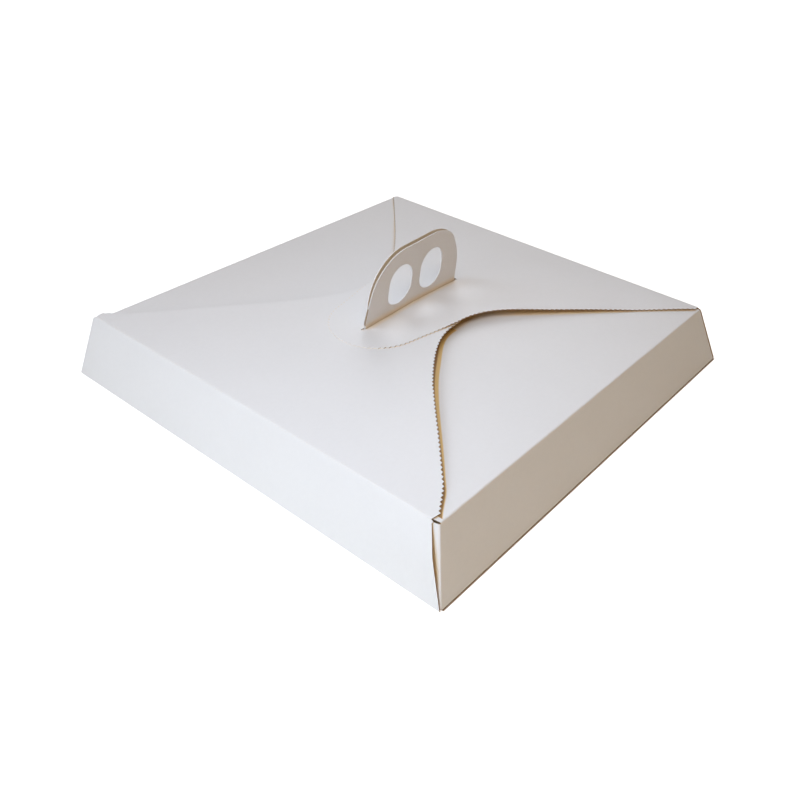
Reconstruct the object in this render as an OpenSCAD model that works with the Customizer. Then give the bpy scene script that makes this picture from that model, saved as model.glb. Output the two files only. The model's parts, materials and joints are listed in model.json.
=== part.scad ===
// Tart box: one die-cut sheet of thin folding board, white outside and brown inside,
// folded into a low square tray with leaning walls and a four-flap lid with a carrying handle.
// Two handle flaps lie lowest and stand up in the middle as a double handle with finger holes.
// The locking flap and then the top flap go over the handle, each through its own slot.
// Millimetres, Z up, origin at the middle of the base on the table.
// The top flap is hinged on the wall at +X, the locking flap is folded over from the wall at -X.

/* [Board] */
// thickness of the board
board_t = 0.6; // [0.5:0.05:1]
// inside radius of every fold
fold_r = 0.5; // [0.3:0.1:1]
// air between two layers that lie on each other
layer_gap = 0.3; // [0.2:0.05:0.6]
// thinning of the board by a crease, on each face
crease = 0.05; // [0.02:0.01:0.1]
// turn by which a crease runs on into its two panels, in degrees
crease_lap = 8; // [4:1:12]
// length by which a crease stops short of its panels' ends
crease_inset = 0.3; // [0.2:0.05:0.5]

/* [Tray] */
// side of the square base, over the folds
base_w = 360; // [300:1:420]
// side of the square rim, over the folds of the handle flaps
rim_w = 330; // [280:1:380]
// height of the handle flaps' folds over the table
rim_h = 48.4; // [40:0.2:70]
// width of the tabs folded behind the walls at the corners
tab_w = 48; // [30:1:70]
// narrowing of a tab from its fold to its free end, at each edge
tab_taper = 6; // [2:0.5:12]
// setback of the locking and top flaps' fold ends from the rim corners
corner_setback = 3; // [2.5:0.5:10]
// radius of the upper corners of the locking and top flaps' walls
wall_corner_r = 3.5; // [2:0.5:8]

/* [Handle] */
// length of the handle along the lid
handle_l = 103; // [90:1:116]
// top of the handle over the rim
handle_rise = 63.6; // [58:0.2:70]
// radius of the handle's upper corners
handle_r = 36; // [24:1:40]
// width of a finger hole
hole_w = 26.4; // [22:0.2:30]
// height of a finger hole
hole_h = 33.4; // [28:0.2:37]
// distance between the middles of the two finger holes
hole_pitch = 36.4; // [34:0.2:40]
// middle of the finger holes over the rim
hole_rise = 33.9; // [32:0.1:37]
// rise of a handle flap from its rim fold to the handle
handle_flap_rise = 5.6; // [5:0.1:7.5]

/* [Lid] */
// rise of the locking flap from its fold to the middle of the lid
locking_rise = 8.4; // [8.3:0.1:9.6]
// further rise of the top flap over the locking flap
top_extra_rise = 1.4; // [1.3:0.1:3]
// half width of the flaps at the middle of the lid, where the tongues start
waist = 45.5; // [41:0.5:50]
// power of the curve that an edge follows from the tongue to the lid's corner
edge_power = 2.2; // [2.1:0.1:2.6]
// radius of a tongue's round end
tongue_r = 37.5; // [30:0.5:40]
// reach of a tongue past the middle of the lid
tongue_reach = 73.5; // [66:0.5:78]
// distance along a flap's edge from one safety tooth to the next
tooth_pitch = 4; // [3:0.5:8]
// depth of the safety teeth
tooth_depth = 1.3; // [0.6:0.1:2]
// length of the plain edge between the teeth and the fold
plain_edge = 5; // [5:0.5:24]
// clearance from the handle to each side of a slot
slot_clear = 0.4; // [0.3:0.05:1]
// clearance from the handle's ends to the ends of a slot
slot_end_clear = 2.8; // [2.6:0.1:4]

/* [Hinge] */
// clearance between the top flap's hinge edge and its wall
hinge_gap = 0.4; // [0.4:0.05:0.6]

/* [Hidden] */
$fn = 96;
white_board = [0.92, 0.92, 0.93];

// A fold's outer radius, and the places of the folds round the base and the rim
fold_ro = fold_r + board_t;
base_axis = base_w / 2 - fold_ro;
rim_axis = rim_w / 2 - fold_ro;
axis_rise = rim_h - 2 * fold_ro;
lean = atan((base_axis - rim_axis) / axis_rise);
wall_l = axis_rise / cos(lean);

// The locking and top flaps fold one layer above the handle flaps
layer_step = board_t + layer_gap;
lid_axis_z = rim_h + layer_step - fold_ro;
lid_wall_l = (lid_axis_z - fold_ro) / cos(lean);
lid_axis = base_axis - lid_wall_l * sin(lean);
lid_fold_half = rim_w / 2 - corner_setback;

// A handle wall stops at its corner folds, a lid wall runs out flush with it at the base
tab_inset = layer_step / cos(lean);
tab_fold = base_axis + layer_step * tan(lean) * sin(lean);
handle_wall_half = base_axis - tab_inset;
handle_fold_half = handle_wall_half - wall_l * sin(lean);
lid_wall_half = base_w / 2;

// A corner fold leans along the edge between two walls
corner_tilt = atan(sqrt(2) * tan(lean));
corner_l = axis_rise / cos(corner_tilt);
corner_half = acos(cos(lean) * cos(corner_tilt) / sqrt(2) + sin(lean) * sin(corner_tilt));

// A handle flap runs up to the handle fold, behind which the two handle halves meet
handle_axis = layer_gap / 2 + fold_ro;
flap_slope = atan(handle_flap_rise / rim_axis);
handle_flap_l = (rim_axis - handle_axis + (fold_ro + fold_r) * sin(flap_slope)) / cos(flap_slope);
handle_axis_z = rim_h - fold_ro + handle_flap_l * sin(flap_slope)
    + (fold_ro + fold_r) * cos(flap_slope);
handle_h = rim_h + handle_rise - handle_axis_z;

// Slots in the two upper flaps
slot_half = layer_gap / 2 + board_t + slot_clear;
slot_l = handle_l + 2 * slot_end_clear;

// The hinge line of the top flap, where the middle layers of wall and flap meet
top_rise = locking_rise + top_extra_rise;
top_slope = fold_slope(top_rise);
mid_r = fold_r + board_t / 2;
hinge_run = mid_r * tan((90 - lean - top_slope) / 2);
hinge_x = lid_axis + mid_r * sin(top_slope) + hinge_run * cos(top_slope);
hinge_z = lid_axis_z + mid_r * cos(top_slope) - hinge_run * sin(top_slope);
hinge_wall_l = lid_wall_l + hinge_run - board_t / 2 - hinge_gap;

// Slope at its fold, and radius at its fold's axis, of a lid flap arched up by a given rise
function fold_slope(rise) = 2 * atan(rise / lid_axis);
function arch_r(rise) = lid_axis / sin(fold_slope(rise));

// Places along half of a lid flap's edge from the middle, each a point and its outward direction.
// Towards the fold the edge follows a curve that nears the lid's diagonal from outside.
toothed_end = lid_axis - plain_edge;
function edge_y(x) = pow(pow(x, edge_power) + pow(waist, edge_power), 1 / edge_power);
function edge_rise(x) = pow(x / edge_y(x), edge_power - 1);
function edge_step(x) = tooth_pitch / 2 / norm([1, edge_rise(x)]);
function edge_walk(x) = x > toothed_end ? [] : concat([x], edge_walk(x + edge_step(x)));
function edge_places() = [
    for (x = edge_walk(0)) [[x, edge_y(x)], [-edge_rise(x), 1] / norm([1, edge_rise(x)])]
];

// The tongue narrows in a straight line from the waist and ends in a round
tongue_x = tongue_reach - tongue_r;
taper_turn = atan((waist - tongue_r) / tongue_x);
round_turn = 90 - taper_turn;
round_steps = 2 * ceil(PI * tongue_r * round_turn / 180 / tooth_pitch);
taper_end = tongue_r * [-sin(taper_turn), cos(taper_turn)] - [tongue_x, 0];
taper_steps = 2 * ceil(norm(taper_end - [0, waist]) / tooth_pitch);
function taper_places() = [
    for (i = [taper_steps - 1:-1:1])
        [[0, waist] + (taper_end - [0, waist]) * i / taper_steps, [-sin(taper_turn), cos(taper_turn)]]
];
function round_places() = [
    for (i = [0:round_steps])
        let (a = 180 - round_turn * i / round_steps)
            [tongue_r * [cos(a), sin(a)] - [tongue_x, 0], [cos(a), sin(a)]]
];
function half_edge() = concat(round_places(), taper_places(), edge_places());

// Every other place is moved in by the depth of a tooth
function toothed(places) = [
    for (i = [0:len(places) - 1]) places[i][0] - (i % 2 == 0 ? 0 : tooth_depth) * places[i][1]
];
function mirrored(points) = [for (i = [len(points) - 1:-1:1]) [points[i][0], -points[i][1]]];

// Outline of a lid flap that is folded at +X, seen from above
module lid_flap_outline() {
    half = toothed(half_edge());
    fold_end = lid_axis + fold_ro;
    difference() {
        polygon(concat(
            half,
            [[fold_end, lid_fold_half], [fold_end, -lid_fold_half]],
            mirrored(half)
        ));
        square([slot_l, 2 * slot_half], center = true);
    }
}

// Creased board about the Z axis, up from the XY plane, from one angle to another
module crease(length, from, to) {
    rotate([0, 0, from - crease_lap]) rotate_extrude(angle = to - from + 2 * crease_lap)
        translate([fold_r + crease, crease_inset])
            square([board_t - 2 * crease, length - 2 * crease_inset]);
}

// Crease about the X axis, from one angle to another, measured from +Y towards +Z
module bend(length, from, to) {
    translate([-length / 2, 0, 0]) rotate([90, 0, 90]) crease(length, from, to);
}

// Places the children against the wall at -Y, in the wall's plane, with X along the wall
module on_wall() {
    translate([0, -base_axis, fold_ro]) rotate([90 - lean, 0, 0])
        translate([0, 0, fold_r]) children();
}

module base() {
    linear_extrude(board_t) square(2 * base_axis, center = true);
}

module base_fold(half) {
    translate([0, -base_axis, fold_ro]) bend(2 * half, 180 - lean, 270);
}

// Wall that carries a handle flap
module handle_wall() {
    base_fold(handle_wall_half);
    on_wall() linear_extrude(board_t)
        polygon([
            [-handle_wall_half, 0],
            [handle_wall_half, 0],
            [handle_fold_half, wall_l],
            [-handle_fold_half, wall_l]
        ]);
}

// Fold round a tray corner and the tab behind the neighbouring wall
module corner_tab() {
    translate([-handle_wall_half, -base_axis, fold_ro]) rotate([0, corner_tilt, 45])
        crease(corner_l, 180 - corner_half, 180 + corner_half);
    rotate([0, 0, -90]) on_wall() translate([0, 0, -layer_step]) linear_extrude(board_t)
        polygon([
            [tab_fold - fold_ro * sin(lean), fold_ro],
            [tab_fold - wall_l * sin(lean), wall_l],
            [tab_fold - wall_l * sin(lean) - tab_w + tab_taper, wall_l - tab_taper],
            [tab_fold - tab_w, fold_ro + tab_taper]
        ]);
}

// Lower lid flap, which ends in one half of the handle
module handle_flap() {
    translate([0, -rim_axis, rim_h - fold_ro]) {
        bend(2 * handle_fold_half, 90 + flap_slope, 180 - lean);
        rotate([flap_slope, 0, 0]) translate([0, 0, fold_r]) linear_extrude(board_t)
            polygon([
                [-handle_fold_half, 0],
                [handle_fold_half, 0],
                [handle_l / 2, handle_flap_l],
                [-handle_l / 2, handle_flap_l]
            ]);
    }
    translate([0, -handle_axis, handle_axis_z]) {
        bend(handle_l, 270 + flap_slope, 360);
        translate([0, fold_ro, 0]) rotate([90, 0, 0]) linear_extrude(board_t) handle_outline();
    }
}

// One half of the handle, from its fold up, with two finger holes
module handle_outline() {
    straight_h = handle_h - handle_r;
    flat_l = handle_l - 2 * handle_r;
    hole_run = hole_h - hole_w;
    hole_z = rim_h + hole_rise - handle_axis_z;
    difference() {
        intersection() {
            translate([-handle_l / 2, 0]) square([handle_l, handle_h]);
            union() {
                translate([-handle_l / 2, 0]) square([handle_l, straight_h]);
                translate([-flat_l / 2, 0]) square([flat_l, handle_h]);
                for (side = [-1, 1]) translate([side * flat_l / 2, straight_h]) circle(handle_r);
            }
        }
        for (side = [-1, 1]) translate([side * hole_pitch / 2, hole_z]) {
            square([hole_w, hole_run], center = true);
            for (end = [-1, 1]) translate([0, end * hole_run / 2]) circle(d = hole_w);
        }
    }
}

// Wall under the locking or the top flap, which covers the corner tabs.
// Each upper corner is a round that starts at the fold's end and runs out into the wall's end.
module lid_wall(length) {
    run = lid_wall_half - lid_fold_half;
    drop = length - wall_corner_r;
    turn = atan2(run, -drop) - acos(wall_corner_r / norm([run, drop]));
    corner = [
        for (i = [0:6])
            [lid_fold_half, drop] + wall_corner_r * [sin(turn * (1 - i / 6)), cos(turn * (1 - i / 6))]
    ];
    base_fold(lid_wall_half);
    on_wall() linear_extrude(board_t)
        polygon(concat(
            [[-lid_wall_half, 0], [lid_wall_half, 0]],
            corner,
            [for (i = [6:-1:0]) [-corner[i][0], corner[i][1]]]
        ));
}

// Lid flap at +X, arched over the handle flaps, that runs on past the start of its fold by a length
module arched_flap(rise, run_on) {
    slope = fold_slope(rise);
    radius = arch_r(rise);
    reach = asin((tongue_reach + tooth_pitch) / radius);
    run_turn = asin(run_on / radius);
    intersection() {
        translate([0, 0, lid_axis_z - radius * cos(slope)])
            rotate([-90, 0, 0]) rotate([0, 0, -90 - reach])
                rotate_extrude(angle = slope + reach + run_turn)
                    translate([radius + fold_r, -rim_w / 2]) square([board_t, rim_w]);
        linear_extrude(2 * rim_h) lid_flap_outline();
    }
}

// Flap over the handle flaps, folded over from the wall at -X
module locking_flap() {
    rotate([0, 0, -90]) translate([0, -lid_axis, lid_axis_z])
        bend(2 * lid_fold_half, 90 + fold_slope(locking_rise), 180 - lean);
    rotate([0, 0, 180]) arched_flap(locking_rise, 0);
}

// The folded sheet with every flap but the top one
module carton() {
    color(white_board) {
        base();
        for (turn = [0, 180]) rotate([0, 0, turn]) {
            handle_wall();
            corner_tab();
            mirror([1, 0, 0]) corner_tab();
            handle_flap();
        }
        rotate([0, 0, -90]) lid_wall(lid_wall_l);
        rotate([0, 0, 90]) lid_wall(hinge_wall_l);
        locking_flap();
    }
}

// The flap that opens first, hinged on the top of the wall at +X
module top_flap() {
    color(white_board) {
        arched_flap(top_rise, hinge_run);
        translate([hinge_x, 0, hinge_z]) rotate([90, 0, 0])
            cylinder(h = 2 * (lid_fold_half - crease_inset), d = board_t - 2 * crease, center = true);
    }
}

carton();
top_flap();
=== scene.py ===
import json
from functools import partial
from math import cos, pi, radians, sin

import bmesh
import bpy
from bpy.props import FloatProperty, FloatVectorProperty, PointerProperty
from mathutils import Matrix, Vector
from mathutils.bvhtree import BVHTree

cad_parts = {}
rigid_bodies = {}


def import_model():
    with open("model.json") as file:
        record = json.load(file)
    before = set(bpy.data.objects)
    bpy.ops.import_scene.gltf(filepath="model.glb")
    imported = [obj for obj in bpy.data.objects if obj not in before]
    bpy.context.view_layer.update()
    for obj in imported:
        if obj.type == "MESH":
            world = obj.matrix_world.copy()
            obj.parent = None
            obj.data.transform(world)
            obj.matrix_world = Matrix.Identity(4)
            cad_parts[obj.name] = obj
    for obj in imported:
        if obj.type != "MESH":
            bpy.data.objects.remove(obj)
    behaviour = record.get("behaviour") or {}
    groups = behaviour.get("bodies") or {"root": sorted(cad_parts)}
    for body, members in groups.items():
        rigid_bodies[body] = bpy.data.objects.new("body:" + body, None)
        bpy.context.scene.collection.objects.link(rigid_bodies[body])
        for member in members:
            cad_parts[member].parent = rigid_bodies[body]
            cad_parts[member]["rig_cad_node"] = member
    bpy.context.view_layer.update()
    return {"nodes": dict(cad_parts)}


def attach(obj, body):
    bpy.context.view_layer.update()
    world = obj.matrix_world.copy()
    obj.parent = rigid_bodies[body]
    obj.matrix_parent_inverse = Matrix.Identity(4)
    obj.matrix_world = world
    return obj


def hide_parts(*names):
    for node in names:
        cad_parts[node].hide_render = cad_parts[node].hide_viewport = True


bl_info = {
    "name": "Tart box looks",
    "version": (1, 0, 0),
    "blender": (4, 5, 0),
    "location": "View3D > Sidebar > Tart box",
    "description": "Dresses the folded tart box in white-coated board and lights it",
    "category": "Object",
}

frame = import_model()

MM = 0.001
BOARD_SIDES = ("white", "kraft", "edge")

# Sizes of the folded box, as in the part's source, from its middle and from the table
BOARD = 0.6 * MM
BASE_HALF = 180 * MM
WALL_LEAN = radians(17.987)
WALL_OFFSET = 171.6 * MM
LID_FOLD_X = 163.6 * MM
LID_WAIST = 45.5 * MM
EDGE_POWER = 2.2
LOCKING_FOLD_Z = 48.55 * MM
LOCKING_RISE = 8.4 * MM
HANDLE_FOLD_Y = 163.9 * MM
FLAP_TOP = 54.0 * MM
FLAP_FALL = 5.6 * MM
HOLE_X = 18.2 * MM
HOLE_Z = 82.3 * MM
HOLE_HALF_W = 13.2 * MM
HOLE_HALF_H = 16.7 * MM

# How far the locking flap has shifted: start and end of the stretch, from the middle, and the shift
EDGE_BELLY = (60 * MM, 120 * MM, 3 * MM)
FOLD_SLIDE = (138 * MM, 163 * MM, 5.5 * MM)

# Further reach of the holes in the handle's back half
HOLE_REACH = 2 * MM
HOLE_DROP = 1.2 * MM

# Heights on the locking flap's wall: where it stands off most, and just under its fold
BELLY_Z = 28 * MM
CREASE_Z = 46.5 * MM

# Box round the top flap's tongue, where its cut edges get a painted highlight: middle and reach along
# each axis
TONGUE_BOX = {"X": (-35 * MM, 45 * MM), "Y": (0.0, 43 * MM), "Z": (57.5 * MM, 2.5 * MM)}
# Direction across the table to the windows, which the tongue's painted highlight on cut edges faces
PAINTED_HIGHLIGHT_TOWARDS = (-0.6, 0.8, 0.0)

FLOOR_SIZE = 8.0
FLOOR_GLOW = 0.85

CAMERA_AZIMUTH = radians(-142.875)
CAMERA_ELEVATION = radians(35.570)
CAMERA_ROLL = radians(2.986)
CAMERA_AIM = Vector((-12.520, -56.294, 0)) * MM
CAMERA_DISTANCE = 652.534 * MM
CAMERA_SENSOR = 36
CAMERA_SHIFT = -0.06875


def linear(hex_colour):
    """Linear RGB of an sRGB hex colour."""
    channels = [int(hex_colour[i:i + 2], 16) / 255 for i in (0, 2, 4)]
    return tuple(c / 12.92 if c <= 0.04045 else ((c + 0.055) / 1.055) ** 2.4 for c in channels)


class BoardFinish(bpy.types.PropertyGroup):
    """Colours of the folding board."""

    white: FloatVectorProperty(
        name="White coating", description="Coated face outside",
        subtype="COLOR", size=3, default=linear("E9E9EA"),
    )
    kraft: FloatVectorProperty(
        name="Kraft back", description="Unbleached face inside",
        subtype="COLOR", size=3, default=linear("C4A172"),
    )
    core: FloatVectorProperty(
        name="Core", description="Grey-brown fibre between the faces, seen at cut edges",
        subtype="COLOR", size=3, default=linear("9C8166"),
    )
    # Painted shade: this gold is laid on the white face in narrow gaps and in the painted shadow strip
    # along the locking flap's edge
    painted_shade_gold: FloatVectorProperty(
        name="Gap tint", description="Gold that the kraft back lends the white face in narrow gaps",
        subtype="COLOR", size=3, default=linear("FFDA8E"),
    )
    edge_shade: FloatVectorProperty(
        name="Edge shade", description="Shade on the white face right under the locking flap's edge",
        subtype="COLOR", size=3, default=linear("B9A698"),
    )


class LidSet(bpy.types.PropertyGroup):
    """How the folded lid has settled."""

    front_lean: FloatProperty(
        name="Front lean", description="Lean of the handle's front half towards -Y",
        default=radians(5.5), subtype="ANGLE", unit="ROTATION",
    )
    back_lean: FloatProperty(
        name="Back lean", description="Lean of the handle's back half towards -Y",
        default=radians(4.8), subtype="ANGLE", unit="ROTATION",
    )
    handle_twist: FloatProperty(
        name="Handle twist", description="Further lean of the handle's end at -X, towards -Y",
        default=3.3 * MM, unit="LENGTH",
    )
    corner_reach: FloatProperty(
        name="Corner reach", description="Reach of the handle's upper corner at +X, to +X",
        default=3.5 * MM, unit="LENGTH",
    )
    handle_foot: FloatProperty(
        name="Handle foot", description="Height over the table where the handle starts to lean",
        default=58 * MM, unit="LENGTH",
    )
    edge_droop: FloatProperty(
        name="Edge droop", description="Droop of the top flap's edges between the handle and the corners",
        default=3.2 * MM, unit="LENGTH",
    )
    tongue_droop: FloatProperty(
        name="Tongue droop", description="Droop of the top flap's tongue on to the locking flap",
        default=0.65 * MM, unit="LENGTH",
    )
    flap_sag: FloatProperty(
        name="Flap sag", description="Sag of the handle flaps between their folds",
        default=1.2 * MM, unit="LENGTH",
    )
    wall_shift: FloatProperty(
        name="Wall shift", description="Shift of the locking flap's wall under its fold, to +Y",
        default=2.5 * MM, unit="LENGTH",
    )
    wall_lift: FloatProperty(
        name="Wall lift", description="Gap by which the locking flap's wall stands off the tab at -Y",
        default=2 * MM, unit="LENGTH",
    )


class StageLight(bpy.types.PropertyGroup):
    """Light and camera."""

    lamp_level: FloatProperty(
        name="Lamp level", description="Level of all the lamps together",
        default=1.0, subtype="FACTOR",
    )
    ambient: FloatVectorProperty(
        name="Ambient", description="Warm light from all round",
        subtype="COLOR", size=3, default=(0.061, 0.039, 0.021),
    )
    lens: FloatProperty(
        name="Lens", description="Focal length of the camera",
        default=38.431, subtype="DISTANCE_CAMERA", unit="CAMERA",
    )


# Name, place and aim in metres, size, spread in degrees, colour and power in watts of each lamp
LAMPS = (
    ("near_window", (-0.5, -0.1, 0.7), (0, 0, 0.03), 0.4, 180, (1.00, 0.93, 0.91), 0.76),
    ("back_window", (-0.7, 0.5, 0.8), (-0.15, -0.15, 0.04), 0.5, 60, (0.76, 0.86, 1.00), 0.42),
    ("top_window", (-0.5, 0.0, 0.9), (-0.18, -0.2, 0.04), 0.4, 45, (0.61, 0.79, 1.00), 0.19),
    ("side_window", (-1.2, 0.0, 0.5), (0, 0, 0.03), 0.5, 180, (0.76, 0.86, 1.00), 5.14),
    ("ceiling", (-0.35, -0.35, 0.9), (0, 0, 0.03), 0.4, 180, (1.00, 0.91, 0.82), 2.12),
    ("far_window", (0.9, 0.6, 0.9), (0, 0, 0.03), 0.8, 180, (0.92, 0.95, 1.00), 4.92),
    ("warm_room", (-0.4, -1.2, 0.4), (0, 0, 0.03), 0.8, 180, (1.00, 0.56, 0.15), 1.81),
)


def add_node(tree, kind, settings=None, links=None):
    """Adds a shader node, sets its properties and inputs, and links inputs to other outputs."""
    node = tree.nodes.new(kind)
    for key, value in (settings or {}).items():
        if isinstance(key, int) or key in node.inputs:
            node.inputs[key].default_value = value
        else:
            setattr(node, key, value)
    for key, output in (links or {}).items():
        tree.links.new(output, node.inputs[key])
    return node


def new_material(name):
    """An empty material and its node tree."""
    material = bpy.data.materials.new(name)
    material.use_nodes = True
    material.node_tree.nodes.clear()
    return material, material.node_tree


def painted_edge_shadows(tree, sides):
    """Shares of a painted shadow strip in gold and of a painted shade line along the locking flap's edge,
    on the flap at -Y.
    """
    size = {axis: add_node(tree, "ShaderNodeMath", {"operation": "ABSOLUTE"}, {0: sides.outputs[axis]})
            for axis in "XY"}
    # The edge is the curve |y| ** power = |x| ** power + waist ** power
    power = add_node(
        tree, "ShaderNodeMath", {"operation": "POWER", 1: EDGE_POWER},
        {0: size["X"].outputs["Value"]},
    )
    power = add_node(
        tree, "ShaderNodeMath", {"operation": "ADD", 1: LID_WAIST ** EDGE_POWER},
        {0: power.outputs["Value"]},
    )
    edge = add_node(
        tree, "ShaderNodeMath", {"operation": "POWER", 1: 1 / EDGE_POWER},
        {0: power.outputs["Value"]},
    )
    off = add_node(
        tree, "ShaderNodeMath", {"operation": "SUBTRACT"},
        {0: size["Y"].outputs["Value"], 1: edge.outputs["Value"]},
    )
    # As the edge has settled, out in the middle and in at the corner
    belly_start, belly_end, belly = EDGE_BELLY
    for start, end, move in ((belly_start, belly_end, -belly), FOLD_SLIDE):
        moved = add_node(
            tree, "ShaderNodeMapRange",
            {"interpolation_type": "SMOOTHSTEP", "From Min": start, "From Max": end, "To Max": move},
            {"Value": size["X"].outputs["Value"]},
        )
        off = add_node(
            tree, "ShaderNodeMath", {"operation": "ADD"},
            {0: off.outputs["Value"], 1: moved.outputs["Result"]},
        )
    # The painted shadow strip narrows to the corner, and starts from a point by the handle
    wide = add_node(
        tree, "ShaderNodeMapRange",
        {"From Min": 70 * MM, "From Max": 150 * MM, "To Min": 4.5 * MM, "To Max": 1.5 * MM},
        {"Value": size["X"].outputs["Value"]},
    )
    point = add_node(
        tree, "ShaderNodeMapRange",
        {"interpolation_type": "SMOOTHSTEP", "From Min": 5 * MM, "From Max": 45 * MM,
         "To Min": 5 * MM, "To Max": 0.0},
        {"Value": size["X"].outputs["Value"]},
    )
    inside = add_node(
        tree, "ShaderNodeMath", {"operation": "SUBTRACT"},
        {0: wide.outputs["Result"], 1: off.outputs["Value"]},
    )
    inside = add_node(
        tree, "ShaderNodeMath", {"operation": "SUBTRACT"},
        {0: inside.outputs["Value"], 1: point.outputs["Result"]},
    )
    painted_shadow_strip = add_node(
        tree, "ShaderNodeMapRange", {"From Min": -0.4 * MM, "From Max": 0.4 * MM},
        {"Value": inside.outputs["Value"]},
    )
    off_line = add_node(
        tree, "ShaderNodeMath", {"operation": "ADD"},
        {0: off.outputs["Value"], 1: point.outputs["Result"]},
    )
    line = add_node(
        tree, "ShaderNodeMapRange", {"From Min": 1.4 * MM, "From Max": 0.6 * MM},
        {"Value": off_line.outputs["Value"]},
    )
    near = add_node(
        tree, "ShaderNodeMath", {"operation": "GREATER_THAN", 1: -4.5 * MM},
        {0: off.outputs["Value"]},
    )
    # On the handle flap's own height, sag and all, and not on the locking flap over it
    over = add_node(
        tree, "ShaderNodeMath", {"operation": "MULTIPLY_ADD", 1: FLAP_FALL / HANDLE_FOLD_Y},
        {0: size["Y"].outputs["Value"], 2: sides.outputs["Z"]},
    )
    level = add_node(
        tree, "ShaderNodeMath", {"operation": "COMPARE", 1: FLAP_TOP - 0.9 * MM, 2: 1.4 * MM},
        {0: over.outputs["Value"]},
    )
    quarter = [
        add_node(tree, "ShaderNodeMath", {"operation": "LESS_THAN", 1: 0.0}, {0: sides.outputs[axis]})
        for axis in "XY"
    ]
    before_corner = add_node(
        tree, "ShaderNodeMath", {"operation": "LESS_THAN", 1: 160 * MM},
        {0: size["X"].outputs["Value"]},
    )
    found = []
    for share in (painted_shadow_strip, line):
        product = share.outputs["Result"]
        for factor in (near, level, before_corner, *quarter):
            node = add_node(
                tree, "ShaderNodeMath", {"operation": "MULTIPLY"},
                {0: product, 1: factor.outputs["Value"]},
            )
            product = node.outputs["Value"]
        found.append(product)
    return found


def white_face(finish):
    """Clay-coated white board face, machine calendered: matt, with a faint mottle, and with painted shade
    in gold in narrow gaps and along the locking flap's edge.
    """
    material, tree = new_material("white_coated_board_face")
    place = add_node(tree, "ShaderNodeTexCoord")
    # Paper formation is cloudy at about 3 mm, and a sheet's tone drifts over about 80 mm
    cloud = add_node(
        tree, "ShaderNodeTexNoise", {"Scale": 1 / (3 * MM), "Detail": 4.0, "Roughness": 0.6},
        {"Vector": place.outputs["Object"]},
    )
    drift = add_node(
        tree, "ShaderNodeTexNoise", {"Scale": 1 / (80 * MM), "Detail": 2.0},
        {"Vector": place.outputs["Object"]},
    )
    tone = add_node(
        tree, "ShaderNodeMath", {"operation": "MULTIPLY_ADD", 1: 0.04, 2: 0.95},
        {0: cloud.outputs["Fac"]},
    )
    tone = add_node(
        tree, "ShaderNodeMath", {"operation": "MULTIPLY_ADD", 1: 0.05},
        {0: drift.outputs["Fac"], 2: tone.outputs["Value"]},
    )
    colour = add_node(
        tree, "ShaderNodeMix", {"data_type": "RGBA", "blend_type": "MULTIPLY", "Factor": 1.0},
        {7: tone.outputs["Value"]},
    )
    colour.inputs[6].default_value = (*finish.white, 1)
    # Painted shade in narrow gaps: where ambient occlusion finds board within about 7 mm, the white face
    # is tinted gold, standing in for light bounced off the brown back; less so by the handle, and not at
    # the box's foot
    gap = add_node(tree, "ShaderNodeAmbientOcclusion", {"samples": 8, "Distance": 7 * MM})
    warm = add_node(
        tree, "ShaderNodeMapRange",
        {"interpolation_type": "SMOOTHSTEP", "From Min": 0.9, "From Max": 0.5},
        {"Value": gap.outputs["AO"]},
    )
    sides = add_node(tree, "ShaderNodeSeparateXYZ", None, {"Vector": place.outputs["Object"]})
    lifted = add_node(
        tree, "ShaderNodeMapRange", {"From Min": 8 * MM, "From Max": 20 * MM},
        {"Value": sides.outputs["Z"]},
    )
    beside = add_node(tree, "ShaderNodeMath", {"operation": "ABSOLUTE"}, {0: sides.outputs["Y"]})
    beside = add_node(
        tree, "ShaderNodeMapRange",
        {"From Min": 15 * MM, "From Max": 30 * MM, "To Min": 0.4, "To Max": 0.75},
        {"Value": beside.outputs["Value"]},
    )
    warm = add_node(
        tree, "ShaderNodeMath", {"operation": "MULTIPLY"},
        {0: warm.outputs["Result"], 1: lifted.outputs["Result"]},
    )
    warm = add_node(
        tree, "ShaderNodeMath", {"operation": "MULTIPLY"},
        {0: warm.outputs["Value"], 1: beside.outputs["Result"]},
    )
    # A painted shadow strip in gold and a painted shade line along the locking flap's edge
    painted_shadow_strip, line = painted_edge_shadows(tree, sides)
    warm = add_node(
        tree, "ShaderNodeMath", {"operation": "MAXIMUM"},
        {0: warm.outputs["Value"], 1: painted_shadow_strip},
    )
    # Painted shade: the gold tints the white face in gaps and in the painted shadow strip
    colour = add_node(
        tree, "ShaderNodeMix", {"data_type": "RGBA", "blend_type": "MULTIPLY"},
        {"Factor": warm.outputs["Value"], 6: colour.outputs[2]},
    )
    colour.inputs[7].default_value = (*finish.painted_shade_gold, 1)
    # Painted shade: a dark line right under the locking flap's edge
    colour = add_node(
        tree, "ShaderNodeMix", {"data_type": "RGBA", "blend_type": "MULTIPLY"},
        {"Factor": line, 6: colour.outputs[2]},
    )
    colour.inputs[7].default_value = (*finish.edge_shade, 1)
    grain = add_node(
        tree, "ShaderNodeBump", {"Strength": 1.0, "Distance": 0.02 * MM},
        {"Height": cloud.outputs["Fac"]},
    )
    shader = add_node(
        tree, "ShaderNodeBsdfPrincipled", {"Roughness": 0.55, "IOR": 1.5},
        {"Base Color": colour.outputs[2], "Normal": grain.outputs["Normal"]},
    )
    add_node(tree, "ShaderNodeOutputMaterial", None, {"Surface": shader.outputs["BSDF"]})
    return material


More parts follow.
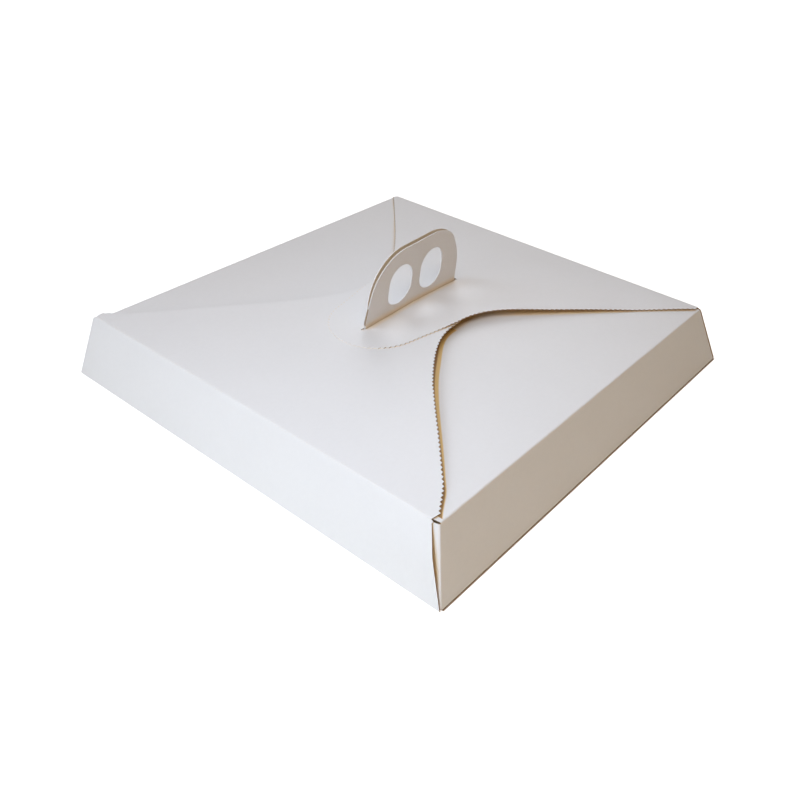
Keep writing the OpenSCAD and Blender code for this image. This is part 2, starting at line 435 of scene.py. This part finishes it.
def kraft_back(finish):
    """Unbleached kraft back, uncoated: warm brown with fibres along the machine and dark flecks."""
    material, tree = new_material("kraft_board_back")
    place = add_node(tree, "ShaderNodeTexCoord")
    # Fibres are about 3 mm long and 0.04 mm wide; drawn 0.4 mm wide so that they show
    stretch = add_node(
        tree, "ShaderNodeMapping", {"Scale": (1 / (0.4 * MM), 1 / (3 * MM), 1 / (0.4 * MM))},
        {"Vector": place.outputs["Object"]},
    )
    fibres = add_node(
        tree, "ShaderNodeTexNoise", {"Scale": 1.0, "Detail": 3.0, "Roughness": 0.65},
        {"Vector": stretch.outputs["Vector"]},
    )
    flecks = add_node(
        tree, "ShaderNodeTexNoise", {"Scale": 1 / (1.6 * MM), "Detail": 1.0},
        {"Vector": place.outputs["Object"]},
    )
    fleck = add_node(
        tree, "ShaderNodeMapRange",
        {"From Min": 0.68, "From Max": 0.78, "To Min": 1.0, "To Max": 0.72},
        {"Value": flecks.outputs["Fac"]},
    )
    tone = add_node(
        tree, "ShaderNodeMapRange",
        {"From Min": 0.3, "From Max": 0.7, "To Min": 0.84, "To Max": 1.06},
        {"Value": fibres.outputs["Fac"]},
    )
    tone = add_node(
        tree, "ShaderNodeMath", {"operation": "MULTIPLY"},
        {0: tone.outputs["Result"], 1: fleck.outputs["Result"]},
    )
    colour = add_node(
        tree, "ShaderNodeMix", {"data_type": "RGBA", "blend_type": "MULTIPLY", "Factor": 1.0},
        {7: tone.outputs["Value"]},
    )
    colour.inputs[6].default_value = (*finish.kraft, 1)
    grain = add_node(
        tree, "ShaderNodeBump", {"Strength": 1.0, "Distance": 0.04 * MM},
        {"Height": fibres.outputs["Fac"]},
    )
    shader = add_node(
        tree, "ShaderNodeBsdfPrincipled", {"Roughness": 0.85, "IOR": 1.45},
        {"Base Color": colour.outputs[2], "Normal": grain.outputs["Normal"]},
    )
    add_node(tree, "ShaderNodeOutputMaterial", None, {"Surface": shader.outputs["BSDF"]})
    return material


def cut_edge(finish):
    """Die-cut edge of pressed fibre layers, rough and brown, with the white coating as a thin line, and a
    painted highlight in white on the tongue's teeth flanks that face the windows.
    """
    material, tree = new_material("die_cut_board_edge")
    place = add_node(tree, "ShaderNodeTexCoord")
    through = add_node(tree, "ShaderNodeUVMap", {"uv_map": "through_board"})
    depth = add_node(tree, "ShaderNodeSeparateXYZ", None, {"Vector": through.outputs["UV"]})
    # Fibre plies are finer than 0.1 mm; drawn as four layers with ragged tones of about 1 mm
    rag = add_node(
        tree, "ShaderNodeTexNoise", {"Scale": 1 / (1 * MM), "Detail": 3.0},
        {"Vector": place.outputs["Object"]},
    )
    plies = add_node(
        tree, "ShaderNodeMath", {"operation": "MULTIPLY_ADD", 1: 25.0},
        {0: depth.outputs["Y"], 2: rag.outputs["Fac"]},
    )
    ply = add_node(tree, "ShaderNodeMath", {"operation": "SINE"}, {0: plies.outputs["Value"]})
    tone = add_node(
        tree, "ShaderNodeMapRange",
        {"From Min": -1.0, "From Max": 1.0, "To Min": 0.8, "To Max": 1.0},
        {"Value": ply.outputs["Value"]},
    )
    fibre = add_node(
        tree, "ShaderNodeMix", {"data_type": "RGBA", "blend_type": "MULTIPLY", "Factor": 1.0},
        {7: tone.outputs["Result"]},
    )
    fibre.inputs[6].default_value = (*finish.core, 1)
    coating_and_painted_highlight = add_node(
        tree, "ShaderNodeMapRange", {"From Min": 0.9, "From Max": 0.96},
        {"Value": depth.outputs["Y"]},
    )
    # On the top flap's tongue, the flanks of the teeth that face the windows get a painted highlight in
    # the coating's white
    facing = add_node(
        tree, "ShaderNodeVectorMath", {"operation": "DOT_PRODUCT", 1: PAINTED_HIGHLIGHT_TOWARDS},
        {0: place.outputs["Normal"]},
    )
    painted_highlight = add_node(
        tree, "ShaderNodeMapRange", {"From Min": -0.75, "From Max": -0.55},
        {"Value": facing.outputs["Value"]},
    )
    sides = add_node(tree, "ShaderNodeSeparateXYZ", None, {"Vector": place.outputs["Object"]})
    share = painted_highlight.outputs["Result"]
    for axis, (middle, reach) in TONGUE_BOX.items():
        near = add_node(
            tree, "ShaderNodeMath", {"operation": "COMPARE", 1: middle, 2: reach},
            {0: sides.outputs[axis]},
        )
        node = add_node(
            tree, "ShaderNodeMath", {"operation": "MULTIPLY"},
            {0: share, 1: near.outputs["Value"]},
        )
        share = node.outputs["Value"]
    coating_and_painted_highlight = add_node(
        tree, "ShaderNodeMath", {"operation": "MAXIMUM"}, {0: coating_and_painted_highlight.outputs["Result"], 1: share},
    )
    colour = add_node(
        tree, "ShaderNodeMix", {"data_type": "RGBA"},
        {"Factor": coating_and_painted_highlight.outputs["Value"], 6: fibre.outputs[2]},
    )
    colour.inputs[7].default_value = (*finish.white, 1)
    rough = add_node(
        tree, "ShaderNodeBump", {"Strength": 1.0, "Distance": 0.05 * MM},
        {"Height": rag.outputs["Fac"]},
    )
    shader = add_node(
        tree, "ShaderNodeBsdfPrincipled", {"Roughness": 0.9, "IOR": 1.4},
        {"Base Color": colour.outputs[2], "Normal": rough.outputs["Normal"]},
    )
    add_node(tree, "ShaderNodeOutputMaterial", None, {"Surface": shader.outputs["BSDF"]})
    return material


def board_materials(finish):
    """The board's three finishes, made once and shared by the pieces."""
    names = ("white_coated_board_face", "kraft_board_back", "die_cut_board_edge")
    makers = (white_face, kraft_back, cut_edge)
    return [bpy.data.materials.get(name) or make(finish) for name, make in zip(names, makers)]


def copy_of_node(node, name):
    """A copy of a CAD node, its loose triangles merged, left active in edit mode."""
    bpy.ops.object.select_all(action="DESELECT")
    source = frame["nodes"][node]
    source.select_set(True)
    bpy.context.view_layer.objects.active = source
    bpy.ops.object.duplicate()
    piece = bpy.context.view_layer.objects.active
    piece.name = piece.data.name = name
    bpy.ops.object.parent_clear(type="CLEAR_KEEP_TRANSFORM")
    del piece["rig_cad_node"]
    piece.data.materials.clear()
    bpy.ops.mesh.customdata_custom_splitnormals_clear()
    bpy.ops.object.mode_set(mode="EDIT")
    bpy.ops.mesh.select_mode(type="FACE")
    bpy.ops.mesh.select_all(action="SELECT")
    bpy.ops.mesh.remove_doubles(threshold=0.002 * MM)
    return piece


def select_faces(piece, test):
    """Selects the faces of the piece in edit mode for which the test holds."""
    bpy.ops.mesh.select_all(action="DESELECT")
    mesh = bmesh.from_edit_mesh(piece.data)
    for face in mesh.faces:
        if test(face):
            face.select_set(True)
    bmesh.update_edit_mesh(piece.data)


def board_side(face, solid):
    """Which of the board's sides a face of the folded sheet belongs to."""
    middle = face.calc_center_median()
    depth = solid.ray_cast(middle - 0.01 * MM * face.normal, -face.normal)[3] or 1
    is_step = min(edge.calc_length() for edge in face.edges) < 0.2 * MM
    if not is_step and not 0.4 * MM < depth < 0.7 * MM:
        return "edge"
    if middle.z > 58 * MM and abs(middle.y) < 1 * MM:
        # Between the handle's halves the photo shows the same tone as on the front
        return "white"
    is_outside = face.normal.dot(middle - Vector((0, 0, 25 * MM))) > 0
    return "white" if is_outside else "kraft"


def finish_sides(piece, finish):
    """Gives white, kraft and cut faces their materials and joins flat faces into panels."""
    for material in board_materials(finish):
        piece.data.materials.append(material)
    mesh = bmesh.from_edit_mesh(piece.data)
    mesh.faces.ensure_lookup_table()
    solid = BVHTree.FromBMesh(mesh)
    sides = [board_side(face, solid) for face in mesh.faces]
    for index, side in enumerate(BOARD_SIDES):
        select_faces(piece, lambda face: sides[face.index] == side)
        piece.active_material_index = index
        bpy.ops.object.material_slot_assign()
    # The handle's faces have holes in them and stay as triangles
    select_faces(piece, lambda face: face.calc_center_median().z < 60 * MM)
    bpy.ops.mesh.dissolve_limited(angle_limit=radians(0.1), delimit={"MATERIAL"})


def cut_across(piece, axis, places, test):
    """Cuts the faces for which the test holds by planes across an axis."""
    direction = Vector((0, 0, 0))
    direction[axis] = 1
    for place in places:
        select_faces(piece, lambda face: test(face) and
                     min(v.co[axis] for v in face.verts) < place - 1e-6 and
                     max(v.co[axis] for v in face.verts) > place + 1e-6)
        if piece.data.total_face_sel:
            bpy.ops.mesh.bisect(plane_co=direction * place, plane_no=direction)


def smooth(start, end, value):
    """0 before the start, 1 after the end, and a smooth step between."""
    step = min(1, max(0, (value - start) / (end - start)))
    return step * step * (3 - 2 * step)


def every(step, start, end):
    """Places a step apart between a start and an end."""
    return [start + step * i for i in range(1, round((end - start) / step))]


def settle(piece, move):
    """Moves the points of a piece in edit mode, each by a vector found from its place."""
    mesh = bmesh.from_edit_mesh(piece.data)
    for vertex in mesh.verts:
        vertex.co += Vector(move(*vertex.co))
    bmesh.update_edit_mesh(piece.data)


def handle_flap_height(y):
    """Height of the upper face of a handle flap."""
    return FLAP_TOP - FLAP_FALL * abs(y) / HANDLE_FOLD_Y


def on_handle_flap(y, z):
    """Whether a place is on a handle flap, off its two folds."""
    return 3 * MM < abs(y) < 163 * MM and abs(z - handle_flap_height(y) + BOARD / 2) < 0.5 * MM


def off_locking_wall(x, z):
    """Distance from the outer face of the locking flap's wall, inwards."""
    return WALL_OFFSET + cos(WALL_LEAN) * x - sin(WALL_LEAN) * z


def on_locking_panel(x, z):
    """Whether a place is on the outer half of the locking flap, on its wall or in its fold."""
    across = x / LID_FOLD_X
    on_flap = -1.02 < across < -0.45 and z > LOCKING_FOLD_Z + LOCKING_RISE * (1 - across * across)
    on_wall = x < -163 * MM and (off_locking_wall(x, z) < 0.75 * MM or z > 48.2 * MM)
    return on_flap or on_wall


def lid_edge(x):
    """Distance of a lid flap's curved edge from the middle, along Y."""
    return (x ** EDGE_POWER + LID_WAIST ** EDGE_POWER) ** (1 / EDGE_POWER)


def is_handle(face):
    """Whether a face is on the upright handle."""
    middle = face.calc_center_median()
    return middle.z > 55 * MM and abs(middle.y) < 3 * MM


def is_handle_flap(face):
    """Whether a face is an upper or lower face of a handle flap."""
    middle = face.calc_center_median()
    return face.normal.z ** 2 > 0.5 and on_handle_flap(middle.y, middle.z)


def is_locking_panel(face):
    """Whether a face is on the locking flap's outer half or its wall."""
    middle = face.calc_center_median()
    return on_locking_panel(middle.x, middle.z)


def clear_holes(x, y, z):
    """The back half's finger holes reach further, so none of its edge shows in front."""
    across = (x - (HOLE_X if x > 0 else -HOLE_X)) / HOLE_HALF_W
    up = (z - HOLE_Z) / HOLE_HALF_H
    if not 0 <= y <= 2 * MM or across ** 2 + up ** 2 > 1.5:
        return (0, 0, 0)
    return (HOLE_REACH * smooth(-0.7, 0.1, across), 0, -HOLE_DROP * smooth(0.6, -0.2, up))


def edge_shift(x, y):
    """Shift to +Y of the locking flap: its fold has slid, and its edge at -Y bellies out."""
    belly_start, belly_end, belly = EDGE_BELLY
    slide_start, slide_end, slide = FOLD_SLIDE
    bellied = belly * smooth(belly_start, belly_end, -x) * smooth(0, 60 * MM, -y)
    return slide * smooth(slide_start, slide_end, -x) - bellied


def carton_sag(lid, x, y, z):
    """The handle flaps hang a little, and the locking flap's wall is not quite shut."""
    if on_locking_panel(x, z):
        open_end = smooth(-40 * MM, -165 * MM, y)
        belly = smooth(49.3 * MM, BELLY_Z, z) * min(1, z / BELLY_Z)
        under_fold = smooth(48.7 * MM, CREASE_Z, z) * min(1, z / CREASE_Z)
        along = edge_shift(x, y) * min(1, z / CREASE_Z) + lid.wall_shift * under_fold * open_end
        return (-lid.wall_lift * belly * open_end, along, 0)
    if on_handle_flap(y, z):
        # The side by the shifted flap reaches out, so that it stays covered
        under = smooth(-100 * MM, -140 * MM, y) if x < 0 else 0
        from_fold = min(1, (y + HANDLE_FOLD_Y) / (11.9 * MM))
        out = under * (1 * MM + 8.6 * MM * from_fold)
        hang = lid.flap_sag * sin(pi * abs(y) / (164 * MM)) ** 2
        return (-out, 0, -hang - 0.03 * out)
    if x < -162.9 * MM and y < -150 * MM and 46.9 * MM < z < 47.6 * MM:
        # The tab's top comes up under the flap's end
        return (0, 0, 0.35 * MM)
    if -56 * MM < x < -53.5 * MM and abs(y) < 2.5 * MM and 55 * MM < z < 57.5 * MM:
        # The locking flap's slot ends close to the handle
        return (2.3 * MM, 0, 0)
    return (0, 0, 0)


def handle_turn(lid, x, y, z):
    """The handle's end at -X leans further, and its corner at +X is the less round one."""
    up = smooth(lid.handle_foot, lid.handle_foot + 28 * MM, z)
    corner = lid.corner_reach * smooth(92 * MM, 108 * MM, z) * smooth(5 * MM, 35 * MM, x)
    return (corner, -lid.handle_twist * up * smooth(40 * MM, -45 * MM, x), 0)


def flap_droop(lid, x, y, z):
    """The top flap's edges sink towards the handle flaps, and its tongue on to the locking flap."""
    share = smooth(25 * MM, 80 * MM, x) * smooth(163 * MM, 118 * MM, x)
    by_edge = smooth(0.3, 1, abs(y) / lid_edge(max(0, x)))
    tongue = lid.tongue_droop * smooth(0, -25 * MM, x)
    return (0, 0, -tongue - lid.edge_droop * share * by_edge)


def map_through(piece):
    """UV map with the place through the board at cut edges, from the back to the white face."""
    mesh = piece.data
    layer = mesh.uv_layers.get("through_board") or mesh.uv_layers.new(name="through_board")
    white_index = BOARD_SIDES.index("white")
    outside = set()
    for polygon in mesh.polygons:
        if polygon.material_index == white_index:
            outside.update(polygon.vertices)
    for polygon in mesh.polygons:
        for loop in polygon.loop_indices:
            vertex = mesh.vertices[mesh.loops[loop].vertex_index]
            layer.data[loop].uv = (vertex.co.x, 1 if vertex.index in outside else 0)


def smooth_panels(piece):
    """Smooth folds between flat panels."""
    bpy.ops.object.mode_set(mode="OBJECT")
    bpy.ops.object.shade_smooth_by_angle(angle=radians(25))
    bpy.ops.object.modifier_add(type="WEIGHTED_NORMAL")
    piece.modifiers[-1].keep_sharp = True
    bpy.ops.object.modifier_apply(modifier=piece.modifiers[-1].name)


def hand_over(piece, node, body):
    """Lets the piece stand for its CAD node and move with its body."""
    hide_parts(node)
    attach(piece, body)


class TARTBOX_OT_carton_board(bpy.types.Operator):
    """Make the folded carton, with its handle leaning as it has settled"""

    bl_idname = "tart_box.carton_board"
    bl_label = "Carton board"

    def execute(self, context):
        lid = context.scene.tart_box_lid
        piece = copy_of_node("carton", "carton_board")
        finish_sides(piece, context.scene.tart_box_board)

        # The cuts give the panels points to settle by
        wall_heights = (*every(8 * MM, 0, 48 * MM), 45 * MM, CREASE_Z, 48 * MM)
        cut_across(piece, 1, every(12 * MM, -164 * MM, 164 * MM), is_handle_flap)
        cut_across(piece, 1, every(11 * MM, -182 * MM, 182 * MM), is_locking_panel)
        cut_across(piece, 2, wall_heights, is_locking_panel)
        cut_across(piece, 0, every(11 * MM, -164 * MM, -76 * MM), is_locking_panel)
        settle(piece, clear_holes)
        settle(piece, partial(carton_sag, lid))
        heights = (lid.handle_foot, lid.handle_foot + 4 * MM)
        cut_across(piece, 2, heights, is_handle)
        bpy.ops.object.mode_set(mode="OBJECT")
        map_through(piece)
        bpy.ops.object.mode_set(mode="EDIT")
        # Half of the lean of each half is in the foot and the rest just above it
        for side, angle in ((-1, lid.front_lean), (1, lid.back_lean)):
            for height in heights:
                select_faces(piece, lambda face: is_handle(face) and
                             face.calc_center_median().y * side > 0 and
                             min(v.co.z for v in face.verts) > height - 0.5 * MM)
                bpy.ops.transform.rotate(
                    value=-angle / 2, orient_axis="X", center_override=(0, 0, height),
                )
        settle(piece, partial(handle_turn, lid))
        smooth_panels(piece)
        hand_over(piece, "carton", "carton")
        return {"FINISHED"}


class TARTBOX_OT_top_flap_board(bpy.types.Operator):
    """Make the lid flap that opens first"""

    bl_idname = "tart_box.top_flap_board"
    bl_label = "Top flap board"

    def execute(self, context):
        lid = context.scene.tart_box_lid
        piece = copy_of_node("top_flap", "top_flap_board")
        finish_sides(piece, context.scene.tart_box_board)
        cut_across(piece, 0, every(11 * MM, -77 * MM, 165 * MM), lambda face: True)
        cut_across(piece, 1, every(11 * MM, -165 * MM, 165 * MM), lambda face: True)
        settle(piece, partial(flap_droop, lid))
        bpy.ops.object.mode_set(mode="OBJECT")
        map_through(piece)
        smooth_panels(piece)
        hand_over(piece, "top_flap", "top_flap")
        return {"FINISHED"}


def lamp(name, place, aim, size, spread, colour, power):
    """A square area lamp that looks at a point."""
    bpy.ops.object.light_add(type="AREA", location=place)
    light = bpy.context.object
    light.name = light.data.name = name
    light.rotation_euler = (Vector(aim) - Vector(place)).to_track_quat("-Z", "Y").to_euler()
    light.data.size = size
    light.data.spread = radians(spread)
    light.data.color = colour
    light.data.energy = power


def seen_directly(tree):
    """1 for rays from the camera, or off gloss or through glass, and 0 for light that bounces."""
    path = add_node(tree, "ShaderNodeLightPath")
    seen = add_node(
        tree, "ShaderNodeMath", {"operation": "MAXIMUM"},
        {0: path.outputs["Is Camera Ray"], 1: path.outputs["Is Glossy Ray"]},
    )
    return add_node(
        tree, "ShaderNodeMath", {"operation": "MAXIMUM"},
        {0: seen.outputs["Value"], 1: path.outputs["Is Transmission Ray"]},
    )


def pale_floor():
    """Pale matt floor that reads as white paper and keeps the box's shadow, with a painted shadow at its
    foot.
    """
    material, tree = new_material("pale_matt_floor")
    place = add_node(tree, "ShaderNodeTexCoord")
    across = add_node(
        tree, "ShaderNodeVectorMath", {"operation": "ABSOLUTE"}, {0: place.outputs["Object"]},
    )
    sides = add_node(tree, "ShaderNodeSeparateXYZ", None, {"Vector": across.outputs["Vector"]})
    far = add_node(
        tree, "ShaderNodeMath", {"operation": "MAXIMUM"},
        {0: sides.outputs["X"], 1: sides.outputs["Y"]},
    )
    # White all round; at the box's foot on the sides away from the windows the glow stops, so that the
    # shadow shows, and a dark brown painted shadow is laid there
    turned = add_node(tree, "ShaderNodeSeparateXYZ", None, {"Vector": place.outputs["Object"]})
    ahead = add_node(
        tree, "ShaderNodeMath", {"operation": "MULTIPLY", 1: -1.0}, {0: turned.outputs["Y"]},
    )
    behind = add_node(
        tree, "ShaderNodeMath", {"operation": "MULTIPLY", 1: -1.0}, {0: turned.outputs["X"]},
    )
    shaded = add_node(
        tree, "ShaderNodeMath", {"operation": "MAXIMUM"},
        {0: turned.outputs["X"], 1: ahead.outputs["Value"]},
    )
    foot = add_node(
        tree, "ShaderNodeMapRange",
        {"From Min": BASE_HALF + 0.5 * MM, "From Max": BASE_HALF + 1.3 * MM},
        {"Value": shaded.outputs["Value"]},
    )
    lit = add_node(
        tree, "ShaderNodeMath", {"operation": "MAXIMUM"},
        {0: turned.outputs["Y"], 1: behind.outputs["Value"]},
    )
    lit = add_node(
        tree, "ShaderNodeMapRange",
        {"From Min": BASE_HALF - 3 * MM, "From Max": BASE_HALF - 2 * MM},
        {"Value": lit.outputs["Value"]},
    )
    foot = add_node(
        tree, "ShaderNodeMath", {"operation": "MAXIMUM"},
        {0: foot.outputs["Result"], 1: lit.outputs["Result"]},
    )
    glow = add_node(
        tree, "ShaderNodeMath", {"operation": "MULTIPLY", 1: FLOOR_GLOW}, {0: foot.outputs["Value"]},
    )
    away = add_node(
        tree, "ShaderNodeMapRange",
        {"interpolation_type": "SMOOTHSTEP", "From Min": 0.3, "From Max": 0.5,
         "To Min": 0.0, "To Max": 1 - FLOOR_GLOW},
        {"Value": far.outputs["Value"]},
    )
    glow = add_node(
        tree, "ShaderNodeMath", {"operation": "ADD"},
        {0: glow.outputs["Value"], 1: away.outputs["Result"]},
    )
    seen = seen_directly(tree)
    strength = add_node(
        tree, "ShaderNodeMath", {"operation": "MULTIPLY"},
        {0: glow.outputs["Value"], 1: seen.outputs["Value"]},
    )
    # Warm as a wooden table to the light that bounces
    colour = add_node(
        tree, "ShaderNodeMix", {"data_type": "RGBA"}, {"Factor": seen.outputs["Value"]},
    )
    colour.inputs[6].default_value = (*linear("E4E1D2"), 1)
    # Painted shadow: dark brown at the box's foot on the sides away from the windows, for rays seen
    # directly
    painted_contact_shadow = add_node(
        tree, "ShaderNodeMix", {"data_type": "RGBA"}, {"Factor": foot.outputs["Value"]},
    )
    painted_contact_shadow.inputs[6].default_value = (*linear("A08C78"), 1)
    painted_contact_shadow.inputs[7].default_value = (*linear("F0F0F0"), 1)
    tree.links.new(painted_contact_shadow.outputs[2], colour.inputs[7])
    shader = add_node(
        tree, "ShaderNodeBsdfPrincipled",
        {"Roughness": 0.9, "Specular IOR Level": 0.1, "Emission Color": (1, 1, 1, 1)},
        {"Base Color": colour.outputs[2], "Emission Strength": strength.outputs["Value"]},
    )
    add_node(tree, "ShaderNodeOutputMaterial", None, {"Surface": shader.outputs["BSDF"]})
    return material


class TARTBOX_OT_stage(bpy.types.Operator):
    """Make the floor, the light and the camera"""

    bl_idname = "tart_box.stage"
    bl_label = "Stage"

    def execute(self, context):
        stage = context.scene.tart_box_stage
        bpy.ops.object.select_all(action="DESELECT")
        bpy.ops.mesh.primitive_plane_add(size=FLOOR_SIZE)
        floor = context.object
        floor.name = floor.data.name = "floor"
        floor.data.materials.append(pale_floor())

        for name, place, aim, size, spread, colour, power in LAMPS:
            lamp(name, place, aim, size, spread, colour, power * stage.lamp_level)

        world = bpy.data.worlds.new("backdrop")
        context.scene.world = world
        world.use_nodes = True
        tree = world.node_tree
        tree.nodes.clear()
        seen = seen_directly(tree)
        colour = add_node(
            tree, "ShaderNodeMix", {"data_type": "RGBA"}, {"Factor": seen.outputs["Value"]},
        )
        colour.inputs[6].default_value = (*stage.ambient, 1)
        colour.inputs[7].default_value = (1, 1, 1, 1)
        sky = add_node(tree, "ShaderNodeBackground", None, {"Color": colour.outputs[2]})
        add_node(tree, "ShaderNodeOutputWorld", None, {"Surface": sky.outputs["Background"]})
        context.scene.view_settings.view_transform = "Standard"

        # Camera over the front corner, turned a little about its own axis
        level = Vector((-sin(CAMERA_AZIMUTH), cos(CAMERA_AZIMUTH), 0))
        ahead = Vector((cos(CAMERA_AZIMUTH), sin(CAMERA_AZIMUTH), 0))
        back = cos(CAMERA_ELEVATION) * ahead + Vector((0, 0, sin(CAMERA_ELEVATION)))
        upright = back.cross(level)
        right = cos(CAMERA_ROLL) * level + sin(CAMERA_ROLL) * upright
        up = cos(CAMERA_ROLL) * upright - sin(CAMERA_ROLL) * level
        turn = Matrix((right, up, back)).transposed()
        bpy.ops.object.camera_add(
            location=CAMERA_AIM + CAMERA_DISTANCE * back, rotation=turn.to_euler(),
        )
        camera = context.object
        camera.data.lens = stage.lens
        camera.data.sensor_width = CAMERA_SENSOR
        camera.data.shift_x = CAMERA_SHIFT
        context.scene.camera = camera
        return {"FINISHED"}


class TARTBOX_PT_looks(bpy.types.Panel):
    """Buttons and settings of the tart box"""

    bl_label = "Tart box"
    bl_idname = "TARTBOX_PT_looks"
    bl_space_type = "VIEW_3D"
    bl_region_type = "UI"
    bl_category = "Tart box"

    def draw(self, context):
        for settings in (
            context.scene.tart_box_board, context.scene.tart_box_lid, context.scene.tart_box_stage,
        ):
            column = self.layout.column()
            for name in settings.__annotations__:
                column.prop(settings, name)
        for operator in OPERATORS:
            self.layout.operator(operator.bl_idname)


SETTINGS = {
    "tart_box_board": BoardFinish,
    "tart_box_lid": LidSet,
    "tart_box_stage": StageLight,
}
OPERATORS = (TARTBOX_OT_carton_board, TARTBOX_OT_top_flap_board, TARTBOX_OT_stage)


def register():
    for group in (*SETTINGS.values(), *OPERATORS, TARTBOX_PT_looks):
        bpy.utils.register_class(group)
    for name, group in SETTINGS.items():
        setattr(bpy.types.Scene, name, PointerProperty(type=group))


def unregister():
    for name in SETTINGS:
        delattr(bpy.types.Scene, name)
    for group in (TARTBOX_PT_looks, *OPERATORS, *SETTINGS.values()):
        bpy.utils.unregister_class(group)


def main():
    register()
    bpy.ops.tart_box.carton_board()
    bpy.ops.tart_box.top_flap_board()
    bpy.ops.tart_box.stage()


if __name__ == "__main__":
    main()
